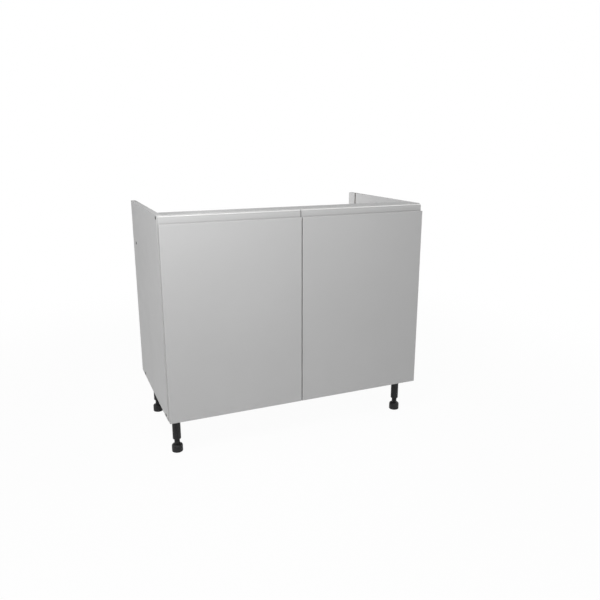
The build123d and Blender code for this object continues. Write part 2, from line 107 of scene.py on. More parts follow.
def on_vectors(tree, operation, *values):
    """A Vector Math node on vectors or sockets."""
    return add_node(tree, "VectorMath", dict(enumerate(values)), operation=operation)


def mix_colours(tree, factor, first, second, blend="MIX"):
    """A Mix node on colours; returns its result socket."""
    inputs = {0: factor, 6: first, 7: second}
    return add_node(tree, "Mix", inputs, data_type="RGBA", blend_type=blend).outputs[2]


def paint(tree, mask, share, under, over):
    """Lay one colour over another where a mask says so, as strongly as the share says."""
    return mix_colours(tree, calculate(tree, "MULTIPLY", mask, share), under, over)


def open_group(name, inputs, outputs):
    """A new shader node group with named sockets; returns its tree and the nodes at its ends."""
    tree = bpy.data.node_groups.new(name, "ShaderNodeTree")
    for label, (kind, value) in inputs.items():
        socket = tree.interface.new_socket(
            label, in_out="INPUT", socket_type="NodeSocket" + kind,
        )
        socket.default_value = value
    for label, kind in outputs.items():
        tree.interface.new_socket(label, in_out="OUTPUT", socket_type="NodeSocket" + kind)
    return tree, tree.nodes.new("NodeGroupInput"), tree.nodes.new("NodeGroupOutput")


def use_group(tree, group, inputs):
    """Place a node group in a material, with its own values."""
    placed = tree.nodes.new("ShaderNodeGroup")
    placed.node_tree = group
    fill_inputs(tree, placed, inputs)
    return placed


print("helpers: nodes, sums, mixes and groups")

# %% [markdown]
# ## Shared effect: mottle
# Almost every real surface varies a little: pressed grain, orange peel, rolling, fingermarks. All
# of them can be one noise field with a cell size in each direction. Equal sizes give an even
# mottle, and one long size gives streaks, as on rolled steel or beech.

# %% Mottle group
NOISE_LOW, NOISE_HIGH = 0.3, 0.7      # nearly all of the noise lies between these values


def mottle_group():
    tree, start, end = open_group(
        "mottle",
        {"Vector": ("Vector", (0, 0, 0)), "Cell": ("Vector", (0.001, 0.001, 0.001)),
         "Low": ("Float", 0.0), "High": ("Float", 1.0)},
        {"Value": "Float"},
    )
    scaled = on_vectors(tree, "DIVIDE", start.outputs["Vector"], start.outputs["Cell"])
    noise = add_node(
        tree, "TexNoise", {"Vector": scaled.outputs[0], "Scale": 1.0, "Detail": 3.0},
    )
    ranged = add_node(
        tree, "MapRange",
        {"Value": noise.outputs[0], "From Min": NOISE_LOW, "From Max": NOISE_HIGH,
         "To Min": start.outputs["Low"], "To Max": start.outputs["High"]},
    )
    tree.links.new(ranged.outputs[0], end.inputs["Value"])
    return tree


def mottle(tree, place, cell, low=0.0, high=1.0):
    """Noise between two values; the cell is one size for every axis, or a size for each."""
    sizes = (cell, cell, cell) if isinstance(cell, float) else cell
    inputs = {"Vector": place, "Cell": sizes, "Low": low, "High": high}
    return use_group(tree, MOTTLE, inputs).outputs[0]


MOTTLE = mottle_group()
print("group:", MOTTLE.name)

# %% [markdown]
# ## Shared effect: hairlines
# Handling leaves fine curved scratches. The line along which a noise field crosses its middle value
# is thin and wandering, so a narrow band about that value draws scratches, and a second, finer
# noise rubs most of them out again.

# %% Hairlines group
NOISE_MIDDLE = 0.5
PATCH_SCALE = 2.3             # cells of the second noise to one of the first
PATCH_START = 0.52            # where the second noise is lower than this, no scratch is left
PATCH_SLOPE = 8.0             # how fast scratches come back above it


def hairlines_group():
    tree, start, end = open_group(
        "hairlines",
        {"Vector": ("Vector", (0, 0, 0)), "Cell": ("Vector", (0.02, 0.02, 0.02)),
         "Width": ("Float", 0.004)},
        {"Mask": "Float"},
    )
    scaled = on_vectors(tree, "DIVIDE", start.outputs["Vector"], start.outputs["Cell"])
    path = add_node(
        tree, "TexNoise", {"Vector": scaled.outputs[0], "Scale": 1.0, "Detail": 1.0},
    )
    from_middle = calculate(tree, "SUBTRACT", path.outputs[0], NOISE_MIDDLE)
    off_path = calculate(tree, "ABSOLUTE", from_middle)
    in_widths = calculate(tree, "DIVIDE", off_path, start.outputs["Width"])
    line = calculate(tree, "SUBTRACT", 1.0, in_widths, clamp=True)
    patches = add_node(
        tree, "TexNoise", {"Vector": scaled.outputs[0], "Scale": PATCH_SCALE, "Detail": 2.0},
    )
    over_start = calculate(tree, "SUBTRACT", patches.outputs[0], PATCH_START)
    kept = calculate(tree, "MULTIPLY", over_start, PATCH_SLOPE, clamp=True)
    tree.links.new(calculate(tree, "MULTIPLY", line, kept), end.inputs["Mask"])
    return tree


def hairlines(tree, place, cell, width):
    """A mask of fine scratches; the width is a share of the noise's range."""
    inputs = {"Vector": place, "Cell": (cell, cell, cell), "Width": width}
    return use_group(tree, HAIRLINES, inputs).outputs[0]


HAIRLINES = hairlines_group()
print("group:", HAIRLINES.name)

# %% [markdown]
# ## Shared effect: worn edges
# Corners catch knocks first. A bevel node rounds the shading normal near an edge, so wherever the
# rounded normal leans away from the true one there is an edge. Noise breaks the band up, because
# real wear is never even.

# %% Edge wear group
LEAN_GAIN = 5.0               # a lean of a fifth or more counts as fully worn


def edge_wear_group():
    tree, start, end = open_group(
        "edge_wear",
        {"Vector": ("Vector", (0, 0, 0)), "Width": ("Float", 0.001), "Patch": ("Float", 0.02)},
        {"Mask": "Float"},
    )
    rounded = add_node(tree, "Bevel", {"Radius": start.outputs["Width"]}, samples=4)
    true_side = add_node(tree, "NewGeometry")
    along = on_vectors(tree, "DOT_PRODUCT", rounded.outputs[0], true_side.outputs["Normal"])
    lean = calculate(tree, "SUBTRACT", 1.0, along.outputs["Value"])
    band = calculate(tree, "MULTIPLY", lean, LEAN_GAIN, clamp=True)
    patch = start.outputs["Patch"]
    cell = add_node(tree, "CombineXYZ", {0: patch, 1: patch, 2: patch})
    uneven = mottle(tree, start.outputs["Vector"], cell.outputs[0])
    tree.links.new(calculate(tree, "MULTIPLY", band, uneven, clamp=True), end.inputs["Mask"])
    return tree


def edge_wear(tree, place, width, patch):
    """A mask of worn edges."""
    inputs = {"Vector": place, "Width": width, "Patch": patch}
    return use_group(tree, EDGE_WEAR, inputs).outputs[0]


EDGE_WEAR = edge_wear_group()
print("group:", EDGE_WEAR.name)

# %% [markdown]
# ## Shared effect: chipboard core
# The boards are chipboard faced with melamine. Edges that nobody sees, towards the wall and the
# floor, are left raw, and drilled holes show the same core: pressed chips in many shades of tan.
# Stretched cells of a Voronoi pattern give each chip its own shade.

# %% Chipboard group
CHIP_SIZE = (3.5 * MM, 1.6 * MM, 3.5 * MM)
CHIP_DARK = (0.28, 0.20, 0.12, 1)
CHIP_PALE = (0.56, 0.43, 0.28, 1)


def chipboard_group():
    tree, start, end = open_group(
        "chipboard", {"Vector": ("Vector", (0, 0, 0))}, {"Color": "Color", "Height": "Float"},
    )
    scaled = on_vectors(tree, "DIVIDE", start.outputs["Vector"], CHIP_SIZE)
    chips = add_node(
        tree, "TexVoronoi", {"Vector": scaled.outputs[0], "Scale": 1.0, "Randomness": 1.0},
    )
    shade = add_node(tree, "SeparateColor", {"Color": chips.outputs["Color"]})
    ramp = add_node(tree, "ValToRGB", {"Fac": shade.outputs["Red"]})
    ramp.color_ramp.elements[0].color = CHIP_DARK
    ramp.color_ramp.elements[1].color = CHIP_PALE
    tree.links.new(ramp.outputs["Color"], end.inputs["Color"])
    tree.links.new(chips.outputs["Distance"], end.inputs["Height"])
    return tree


CHIPBOARD = chipboard_group()
print("group:", CHIPBOARD.name)

# %% [markdown]
# ## Shared effect: one side of a piece
# A finish that changes from one face to the next needs to know which way a face looks. Comparing
# the surface's own normal with a direction gives a mask of the faces that look that way.

# %% Facing group
FORWARDS, BACKWARDS = (0, -1, 0), (0, 1, 0)
LEFT, RIGHT = (-1, 0, 0), (1, 0, 0)
DOWN, UP = (0, 0, -1), (0, 0, 1)
SAME_WAY = 0.95               # least cosine between a face's normal and its direction


def facing_group():
    tree, start, end = open_group(
        "facing", {"Normal": ("Vector", UP), "Direction": ("Vector", BACKWARDS)},
        {"Mask": "Float"},
    )
    along = on_vectors(tree, "DOT_PRODUCT", start.outputs["Normal"], start.outputs["Direction"])
    mask = calculate(tree, "GREATER_THAN", along.outputs["Value"], SAME_WAY)
    tree.links.new(mask, end.inputs["Mask"])
    return tree


def facing(tree, normal, direction):
    """A mask of the faces that look in a direction."""
    return use_group(tree, FACING, {"Normal": normal, "Direction": direction}).outputs[0]


FACING = facing_group()
print("group:", FACING.name)

# %% [markdown]
# ## Shared effect: inside a box
# A groove is milled after the board is faced, so its walls are bare chipboard. They look the same
# way as faced surfaces do, and only their place tells them apart: the mask is one within a box of
# space.

# %% Inside-box group
def inside_group():
    tree, start, end = open_group(
        "inside_box",
        {"Vector": ("Vector", (0, 0, 0)), "Low": ("Vector", (0, 0, 0)),
         "High": ("Vector", (1, 1, 1))},
        {"Mask": "Float"},
    )
    above = on_vectors(tree, "SUBTRACT", start.outputs["Vector"], start.outputs["Low"])
    below = on_vectors(tree, "SUBTRACT", start.outputs["High"], start.outputs["Vector"])
    room = on_vectors(tree, "MINIMUM", above.outputs[0], below.outputs[0])
    x, y, z = add_node(tree, "SeparateXYZ", {0: room.outputs[0]}).outputs
    least = calculate(tree, "MINIMUM", x, calculate(tree, "MINIMUM", y, z))
    tree.links.new(calculate(tree, "GREATER_THAN", least, 0.0), end.inputs["Mask"])
    return tree


def inside(tree, place, low, high):
    """A mask of what lies between two corners."""
    return use_group(tree, INSIDE, {"Vector": place, "Low": low, "High": high}).outputs[0]


INSIDE = inside_group()
print("group:", INSIDE.name)

# %% [markdown]
# ## Starting and ending a finish
# Each finish below starts the same way: an empty material, one Principled shader, and coordinates
# that stick to the piece, so that the pattern stays put when a door swings. It ends the same way
# too: a colour, a roughness, and a height field that becomes bumps.

# %% Blank material
def blank_finish(name, **fixed):
    """A material with a Principled shader; values that are the same all over sit on its sockets."""
    material = bpy.data.materials.new(name)
    material.use_nodes = True
    tree = material.node_tree
    tree.nodes.clear()
    shader = add_node(tree, "BsdfPrincipled", fixed)
    output = tree.nodes.new("ShaderNodeOutputMaterial")
    tree.links.new(shader.outputs[0], output.inputs["Surface"])
    return material, tree, shader, tree.nodes.new("ShaderNodeTexCoord").outputs["Object"]


def own_normal(tree):
    """The surface's normal in the piece's own coordinates."""
    return tree.nodes.new("ShaderNodeTexCoord").outputs["Normal"]


def feed(tree, shader, colour, roughness, height, depth):
    """Give a shader its colour, its roughness and bumps of a given depth."""
    bump = add_node(tree, "Bump", {"Height": height, "Distance": depth, "Strength": 1.0})
    fill_inputs(
        tree, shader,
        {"Base Color": colour, "Roughness": roughness, "Normal": bump.outputs[0]},
    )


print("helpers: start and end of a finish")

# %% [markdown]
# ## Melamine-faced board
# The carcass is 18 mm chipboard under a light grey decorative paper, pressed with a fine pearl
# grain. It is almost plain: what makes it read as board is the grain in the highlights, corners
# that are a little pale where the paper has been knocked, and the raw core where an edge is left
# bare. Faces towards the front carry painted light, which lifts them out of the shade between
# the carcass and the doors. The top faces of the sides carry painted shade, and so do the grooves
# for the back.

# %% Board finish
BOARD_GREY = (0.50, 0.50, 0.50, 1)
# painted light: faces that look forwards are lighter, lifting them out of the shade between carcass
# and doors
FRONT_PAINTED_LIGHT_GREY = (0.62, 0.62, 0.615, 1)
# painted shade: the top faces of the sides are darker
TOP_PAINTED_SHADE_GREY = (0.35, 0.35, 0.35, 1)
KNOCKED_GREY = (0.66, 0.65, 0.63, 1)
KNOCKED_SHARE = 0.35
# painted shade in the grooves for the back
GROOVE_PAINTED_SHADE = (0.05, 0.047, 0.045, 1)
GROOVE_SHADE_SHARE = 0.85
CORE_ROUGHNESS = 0.9
CHIP_HEIGHT = 12.0            # how far the chips stand out, in depths of the pearl grain
PEARL_CELL = 0.8 * MM
PEARL_DEPTH = 0.02 * MM
STRAIGHT = 0.985              # a face looks along an axis where its normal has a part this large


def drilled(tree, normal):
    """A mask of drilled walls: they look along no axis."""
    parts = add_node(tree, "SeparateXYZ", {0: normal})
    x, y, z = [calculate(tree, "ABSOLUTE", part) for part in parts.outputs]
    widest = calculate(tree, "MAXIMUM", calculate(tree, "MAXIMUM", x, y), z)
    return calculate(tree, "LESS_THAN", widest, STRAIGHT)


def board_finish(name, raw_sides, grooves=(), tone=1.0, painted_front_light=False, painted_top_shade=False):
    material, tree, shader, place = blank_finish(name, **{"Specular IOR Level": 0.15})
    normal = own_normal(tree)
    # the tone darkens the paper; the rail uses it for painted shade
    cloud = mottle(tree, place, cell=0.22, low=0.97 * tone, high=1.02 * tone)
    paper = mix_colours(tree, 1.0, BOARD_GREY, cloud, "MULTIPLY")
    knocks = edge_wear(tree, place, width=0.7 * MM, patch=0.03)
    paper = paint(tree, knocks, KNOCKED_SHARE, paper, KNOCKED_GREY)
    # painted light on the faces that look forwards
    if painted_front_light:
        paper = mix_colours(tree, facing(tree, normal, FORWARDS), paper, FRONT_PAINTED_LIGHT_GREY)
    # painted shade on the faces that look up
    if painted_top_shade:
        paper = mix_colours(tree, facing(tree, normal, UP), paper, TOP_PAINTED_SHADE_GREY)
    core = use_group(tree, CHIPBOARD, {"Vector": place})
    core_colour = core.outputs["Color"]
    bare = drilled(tree, normal)
    for direction in raw_sides:
        bare = calculate(tree, "MAXIMUM", bare, facing(tree, normal, direction))
    for low, high in grooves:
        groove = inside(tree, place, low, high)
        bare = calculate(tree, "MAXIMUM", bare, groove)
        # painted shade over the bare core in the groove
        core_colour = paint(tree, groove, GROOVE_SHADE_SHARE, core_colour, GROOVE_PAINTED_SHADE)
    colour = mix_colours(tree, bare, paper, core_colour)
    gloss = mottle(tree, place, cell=0.05, low=0.44, high=0.5)
    bare_roughness = calculate(tree, "MULTIPLY", bare, CORE_ROUGHNESS)
    roughness = calculate(tree, "MAXIMUM", gloss, bare_roughness)
    pearl = mottle(tree, place, PEARL_CELL)
    bare_height = calculate(tree, "MULTIPLY", bare, CHIP_HEIGHT)
    chips = calculate(tree, "MULTIPLY", core.outputs["Height"], bare_height)
    feed(tree, shader, colour, roughness, calculate(tree, "ADD", pearl, chips), PEARL_DEPTH)
    return material


print("board: pearl grain of", PEARL_CELL / MM, "mm")

# %% [markdown]
# ## Which edges are raw
# Boards are cut so that the raw edges end up where nobody looks, and each board has its own list
# of them. The grooves are found from the back and the base. The box of each is a little thicker
# than the back itself, so that it takes in the groove's walls, and stops short of the faced
# surface that the groove is cut into.

# %% Finishes of the boards
SKIN = 0.3 * MM
PAST_BACK = 2 * MM
# painted shade: the rail's paper is darkened through the tone of its finish
RAIL_PAINTED_SHADE = 0.58              # the rail behind the doors is darker in the photograph
back_low, back_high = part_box("back_panel")
inner_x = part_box("base_panel")[1].x
base_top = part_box("base_panel")[1].z


def groove_box(low_x, high_x, low_z, high_z):
    """The space of a groove for the back, a little thicker than the back itself."""
    return (low_x, back_low.y - SKIN, low_z), (high_x, back_high.y + SKIN, high_z)


left_groove = groove_box(back_low.x - PAST_BACK, -inner_x - SKIN, 0, 1)
right_groove = groove_box(inner_x + SKIN, back_high.x + PAST_BACK, 0, 1)
base_groove = groove_box(-1, 1, back_low.z - PAST_BACK, base_top - SKIN)
finishes = {
    "left_side_panel": board_finish(
        "board_left_side", (BACKWARDS, DOWN), (left_groove,), painted_front_light=True, painted_top_shade=True,
    ),
    "right_side_panel": board_finish(
        "board_right_side", (BACKWARDS, DOWN), (right_groove,), painted_front_light=True, painted_top_shade=True,
    ),
    "base_panel": board_finish("board_base", (BACKWARDS,), (base_groove,), painted_front_light=True),
    "front_top_rail": board_finish(
        "board_front_rail", (BACKWARDS,), tone=RAIL_PAINTED_SHADE, painted_front_light=True,
    ),
    "rear_rail": board_finish("board_rear_rail", (DOWN,)),
    "back_panel": board_finish("board_back", (UP, DOWN)),
}
print("board finishes:", len(finishes))

# %% [markdown]
# ## Satin door front
# The doors are smoother than the carcass: a satin foil drawn over a shaped board, so the grip
# groove has no joint. Foil shows a faint orange peel in its highlights and hardly any mark. At the
# grip, painted shade lies on the lip and in the groove behind it. The upstand above carries
# painted light, with a painted highlight along its top edge and a thin band of painted shade just
# under that highlight. The two upright sides of a door are painted darker than its front, a
# painted shade that draws the gap between the doors.

# %% Door finish
DOOR_GREY = (0.52, 0.52, 0.52, 1)
# painted shade: the upright sides of the doors are darker, drawing the gap between them
SIDE_PAINTED_SHADE_GREY = (0.36, 0.36, 0.36, 1)
WORN_GREY = (0.7, 0.7, 0.69, 1)
WORN_SHARE = 0.15
# painted shade in the grip and just under the upstand's highlight
PAINTED_SHADE_GREY = (0.36, 0.36, 0.355, 1)
PAINTED_SHADE_SHARE = 0.7
# painted highlight on the upstand, strongest along its rounded top edge
PAINTED_HIGHLIGHT_GREY = (0.72, 0.72, 0.715, 1)
SCUFF_ROUGHNESS = 0.1
PEEL_CELL = 2.5 * MM
PEEL_DEPTH = 0.012 * MM
LIP_DROP = 24 * MM            # from the door's top down to the top of the grip's lip
# the lip's front face stays clear of the painted shade
LIP_SKIN = 0.4 * MM           # the lip's front face stays clean
# how far the painted shade in the grip reaches below and above the lip's top
SHADE_BELOW, SHADE_ABOVE = 20 * MM, 1 * MM      # how far grime reaches from the lip's top
# behind the door's front: just before the upstand, and just past its rounded edge
UPSTAND_START, UPSTAND_END = 12.9 * MM, 18.2 * MM
# bands of painted light and painted shade on the upstand: how far their two edges lie under
# the door's top, colour and share
UPSTAND_LIGHT_AND_SHADE = [
    (-1 * MM, 21 * MM, PAINTED_HIGHLIGHT_GREY, 0.2),
    (2.2 * MM, 5 * MM, PAINTED_SHADE_GREY, 0.5),
    (-1 * MM, 2.2 * MM, PAINTED_HIGHLIGHT_GREY, 0.8),
]


def door_finish():
    material, tree, shader, place = blank_finish(
        "satin_door_front", **{"Specular IOR Level": 0.3},
    )
    normal = own_normal(tree)
    cloud = mottle(tree, place, cell=0.3, low=0.985, high=1.012)
    foil = mix_colours(tree, 1.0, DOOR_GREY, cloud, "MULTIPLY")
    worn = edge_wear(tree, place, width=0.6 * MM, patch=0.04)
    foil = paint(tree, worn, WORN_SHARE, foil, WORN_GREY)
    # painted shade on the upright sides
    for direction in (LEFT, RIGHT):
        foil = mix_colours(tree, facing(tree, normal, direction), foil, SIDE_PAINTED_SHADE_GREY)
    door_low, door_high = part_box("left_door")
    front, lip_top = door_low.y, door_high.z - LIP_DROP
    # painted shade on the lip and in the groove behind it
    grip_shade = inside(
        tree, place, (-1, front + LIP_SKIN, lip_top - SHADE_BELOW),
        (1, front + UPSTAND_START, lip_top + SHADE_ABOVE),
    )
    foil = paint(tree, grip_shade, PAINTED_SHADE_SHARE, foil, PAINTED_SHADE_GREY)
    # painted light on the upstand, a painted highlight along its top edge, and painted shade just
    # under it
    for upper, lower, grey, share in UPSTAND_LIGHT_AND_SHADE:
        band = inside(
            tree, place, (-1, front + UPSTAND_START, door_high.z - lower),
            (1, front + UPSTAND_END, door_high.z - upper),
        )
        foil = paint(tree, band, share, foil, grey)
    marks = mottle(tree, place, cell=0.03, low=0.36, high=0.42)
    scuffs = hairlines(tree, place, cell=0.06, width=0.002)
    scuffed = calculate(tree, "MULTIPLY", scuffs, SCUFF_ROUGHNESS)
    roughness = calculate(tree, "ADD", marks, scuffed)
    feed(tree, shader, foil, roughness, mottle(tree, place, PEEL_CELL), PEEL_DEPTH)
    return material


slot_finishes = {"door_front": door_finish()}
print("finish:", slot_finishes["door_front"].name)

# %% [markdown]
# ## Moulded leg plastic
# The legs are injection-moulded in charcoal plastic. The steel mould is spark-eroded, which leaves
# an even, fine, matt grain. Corners polish to a slightly paler grey, and boxes dragged past leave
# hairlines.

# %% Leg finish
CHARCOAL = (0.017, 0.017, 0.018, 1)
RUBBED_CHARCOAL = (0.12, 0.12, 0.125, 1)
RUBBED_SHARE = 0.35
SPARK_CELL = 0.45 * MM
SPARK_DEPTH = 0.03 * MM


def leg_finish():
    material, tree, shader, place = blank_finish(
        "charcoal_moulding", **{"Specular IOR Level": 0.25},
    )
    worn = edge_wear(tree, place, width=0.8 * MM, patch=0.01)
    scuffs = hairlines(tree, place, cell=0.012, width=0.006)
    rubbed = calculate(tree, "MAXIMUM", worn, scuffs)
    colour = paint(tree, rubbed, RUBBED_SHARE, CHARCOAL, RUBBED_CHARCOAL)
    gloss = mottle(tree, place, cell=0.01, low=0.5, high=0.62)
    feed(tree, shader, colour, gloss, mottle(tree, place, SPARK_CELL), SPARK_DEPTH)
    return material


slot_finishes["leg_plastic"] = leg_finish()
print("finish:", slot_finishes["leg_plastic"].name)

# %% [markdown]
# ## Plated metal
# The hinges are pressed from steel strip and nickel plated, and their screws are zinc plated. They
# differ in colour, in roughness and in the fine lines, which rolling leaves on strip alone, so one
# function makes both of them from those values.

# %% Metal finishes
NICKEL = (0.60, 0.58, 0.55, 1)
ZINC = (0.42, 0.43, 0.45, 1)
ROLLED_CELL = (0.3 * MM, 10 * MM, 0.3 * MM)
PLATED_CELL = 0.6 * MM
LINE_ROUGHNESS = 0.04         # lines and scratches add this much to the roughness
SCRATCH_ROUGHNESS = 0.2
WORN_SMOOTHNESS = 0.12        # and worn edges take this much away
METAL_DEPTH = 0.002 * MM


def metal_finish(name, colour, roughness, line_cell, scratch_width):
    material, tree, shader, place = blank_finish(name, Metallic=1.0)
    tone = mottle(tree, place, cell=0.006, low=0.95, high=1.03)
    toned = mix_colours(tree, 1.0, colour, tone, "MULTIPLY")
    lines = mottle(tree, place, line_cell)
    scratches = hairlines(tree, place, cell=0.005, width=scratch_width)
    worn = edge_wear(tree, place, width=0.3 * MM, patch=0.005)
    by_lines = calculate(tree, "MULTIPLY", lines, LINE_ROUGHNESS)
    by_scratches = calculate(tree, "MULTIPLY", scratches, SCRATCH_ROUGHNESS)
    by_wear = calculate(tree, "MULTIPLY", worn, WORN_SMOOTHNESS)
    marked = calculate(tree, "ADD", calculate(tree, "ADD", roughness, by_lines), by_scratches)
    polished = calculate(tree, "SUBTRACT", marked, by_wear, clamp=True)
    cut = calculate(tree, "SUBTRACT", lines, scratches)
    feed(tree, shader, toned, polished, cut, METAL_DEPTH)
    return material


slot_finishes["hinge_steel"] = metal_finish(
    "nickel_plated_strip", NICKEL, roughness=0.24, line_cell=ROLLED_CELL, scratch_width=0.006,
)
slot_finishes["plated_steel"] = metal_finish(
    "zinc_plated_screw", ZINC, roughness=0.36, line_cell=PLATED_CELL, scratch_width=0.01,
)
print("metal finishes: 2")

# %% [markdown]
# ## Phosphated screws
# The screws through the sides are phosphated: a thin matt black crust of crystals that holds oil.
# It hides the metal, so the finish is a rough dark one with no metallic shine.

# %% Screw finish
PHOSPHATE = (0.012, 0.012, 0.013, 1)
CRUST_CELL = 0.5 * MM
CRUST_DEPTH = 0.02 * MM


def phosphate_finish():
    material, tree, shader, place = blank_finish(
        "phosphated_screw", **{"Specular IOR Level": 0.1},
    )
    crust = mottle(tree, place, CRUST_CELL, low=0.6, high=1.4)
    colour = mix_colours(tree, 1.0, PHOSPHATE, crust, "MULTIPLY")
    rubbed = mottle(tree, place, cell=0.003, low=0.65, high=0.85)
    feed(tree, shader, colour, rubbed, crust, CRUST_DEPTH)
    return material


slot_finishes["dark_steel"] = phosphate_finish()
print("finish:", slot_finishes["dark_steel"].name)

# %% [markdown]
# ## Beech and clear rubber
# The dowels are turned from beech, whose rays and pores run along the stick. The door buffers are
# clear soft plastic: they let light through and shine a little where they have been touched.

# %% Dowel and buffer finishes
BEECH_DARK = (0.50, 0.33, 0.19, 1)
BEECH_PALE = (0.68, 0.50, 0.32, 1)
BEECH_CELL = (12 * MM, 0.6 * MM, 0.6 * MM)
BEECH_ROUGHNESS = 0.65
BEECH_DEPTH = 0.03 * MM
BUFFER_TINT = (0.85, 0.86, 0.86, 1)
BUFFER_DEPTH = 0.02 * MM


def beech_finish():
    material, tree, shader, place = blank_finish("turned_beech")
    grain = mottle(tree, place, BEECH_CELL)
    colour = mix_colours(tree, grain, BEECH_DARK, BEECH_PALE)
    feed(tree, shader, colour, BEECH_ROUGHNESS, grain, BEECH_DEPTH)
    return material


def buffer_finish():
    material, tree, shader, place = blank_finish(
        "clear_buffer", **{"Transmission Weight": 0.6, "IOR": 1.45},
    )
    tone = mottle(tree, place, cell=0.002, low=0.92, high=1.0)
    colour = mix_colours(tree, 1.0, BUFFER_TINT, tone, "MULTIPLY")
    touched = mottle(tree, place, cell=0.001, low=0.22, high=0.4)
    feed(tree, shader, colour, touched, touched, BUFFER_DEPTH)
    return material


slot_finishes["dowel_wood"] = beech_finish()
slot_finishes["buffer_rubber"] = buffer_finish()
print("finishes so far:", len(slot_finishes) + len(finishes))

# %% [markdown]
# ## Dressing the carried-over pieces
# Every piece that came with the frame has a slot that says what it is made of. A board has a finish
# of its own, because its bare edges differ, and the rest take the finish of their slot.

# %% Put the finishes on
for subpart in frame["record"]["subparts"]:
    node = frame["nodes"][subpart["node"]]
    finish = finishes.get(subpart["node"]) or slot_finishes[subpart["material_slot"]]
    node.data.materials.clear()
    node.data.materials.append(finish)

# %% [markdown]
# ## Helpers for new pieces
# A new piece is modelled where it stands, so that its object can stay at the origin, unturned and
# unscaled, as the frame's own pieces are. Round pieces are half an outline, spun about an axis.

# %% Helpers for bmesh
SAME_POINT = 0.001 * MM       # points this close together are one
WELD = 0.01 * MM              # the same, for points that come from a file or from a long spin


def make_piece(name, mesh, body, slot):
    """Turn a bmesh into an object that rides on a body and has its slot's finish."""
    bmesh.ops.remove_doubles(mesh, verts=mesh.verts, dist=SAME_POINT)
    bmesh.ops.recalc_face_normals(mesh, faces=mesh.faces)
    data = bpy.data.meshes.new(name)
    mesh.to_mesh(data)
    mesh.free()
    piece = bpy.data.objects.new(name, data)
    scene.collection.objects.link(piece)
    data.materials.append(slot_finishes[slot])
    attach(piece, body)
    return piece


def trace(mesh, points):
    """A chain of edges through points, ready to spin."""
    corners = [mesh.verts.new(point) for point in points]
    return corners + [mesh.edges.new(pair) for pair in zip(corners, corners[1:])]


def shade_by_angle(piece, degrees):
    """Smooth shading on round faces, with hard edges kept where the surface turns sharply."""
    for face in piece.data.polygons:
        face.use_smooth = True
    piece.data.set_sharp_from_angle(angle=math.radians(degrees))


print("helpers: outlines, pieces and shading")

# %% [markdown]
# ## Threaded feet
# Each leg ends in a foot that screws up and down inside the tube. The drawing has a plain stem. The
# real one has a coarse moulded thread, of which some 20 mm shows between the tube and the foot. A
# thread is a zigzag outline spun once about the stem while it climbs by one pitch, so each turn
# meets the next. Two flat cuts trim its ragged ends. The pad is a spun outline, hollow underneath
# and open at the top, and a flat ring of triangles joins it to the stem, so that the foot is one
# closed skin.

# %% Feet
PITCH = 3.5 * MM
THREAD_RADIUS = 10 * MM
THREAD_DEPTH = 0.9 * MM
# one turn of the thread: share of the pitch, and share of the depth
THREAD_TURN = [(0.0, 0.0), (0.22, 1.0), (0.5, 1.0), (0.72, 0.0)]
FOOT_RADIUS = 20 * MM
FOOT_SIDE = 21.5 * MM         # height at which the pad's straight side ends
FOOT_SHOULDER = 29 * MM       # height at which its shoulder meets the stem
SHOULDER_RADIUS = 10.8 * MM
SHOULDER_STEPS = 8
# the pad's underside from the middle outwards: distance from the axis, and height
PAD_UNDERSIDE = [
    (0, 4 * MM), (8 * MM, 4 * MM), (8 * MM, 2 * MM), (15 * MM, 2 * MM), (15 * MM, 0),
    (19 * MM, 0), (FOOT_RADIUS, 1 * MM),
]
TURN_STEPS = 48               # steps in a full turn of a spin


def threaded_stem(mesh, centre, low, high):
    """The stem between two heights: closed at the top, and open towards the pad."""
    turns = math.ceil((high - low) / PITCH) + 2
    points = []
    for turn in range(turns + 1):
        for along, depth in THREAD_TURN if turn < turns else THREAD_TURN[:1]:
            height = low + (turn - 1 + along) * PITCH
            points.append((centre.x + THREAD_RADIUS - depth * THREAD_DEPTH, centre.y, height))
    bmesh.ops.spin(
        mesh, geom=trace(mesh, points), cent=(centre.x, centre.y, 0), axis=(0, 0, 1),
        dvec=(0, 0, PITCH / TURN_STEPS), angle=math.tau, steps=TURN_STEPS, use_merge=False,
    )
    bmesh.ops.remove_doubles(mesh, verts=mesh.verts, dist=WELD)
    for height, direction in ((low, -1), (high, 1)):
        cut = bmesh.ops.bisect_plane(
            mesh, geom=mesh.verts[:] + mesh.edges[:] + mesh.faces[:], dist=SAME_POINT,
            plane_co=(0, 0, height), plane_no=(0, 0, direction), clear_outer=True,
        )
    top_rim = [item for item in cut["geom_cut"] if isinstance(item, bmesh.types.BMEdge)]
    bmesh.ops.edgeloop_fill(mesh, edges=top_rim)


def foot_pad(mesh, centre):
    """The round pad: hollow below, a straight side, and a domed shoulder open to the stem."""
    outline = list(PAD_UNDERSIDE)
    for step in range(SHOULDER_STEPS + 1):
        lean = step / SHOULDER_STEPS * math.pi / 2
        outline.append((
            SHOULDER_RADIUS + (FOOT_RADIUS - SHOULDER_RADIUS) * math.cos(lean),
            FOOT_SIDE + (FOOT_SHOULDER - FOOT_SIDE) * math.sin(lean),
        ))
    points = [(centre.x + across, centre.y, height) for across, height in outline]
    bmesh.ops.spin(
        mesh, geom=trace(mesh, points), cent=(centre.x, centre.y, 0), axis=(0, 0, 1),
        angle=math.tau, steps=TURN_STEPS, use_merge=True,
    )


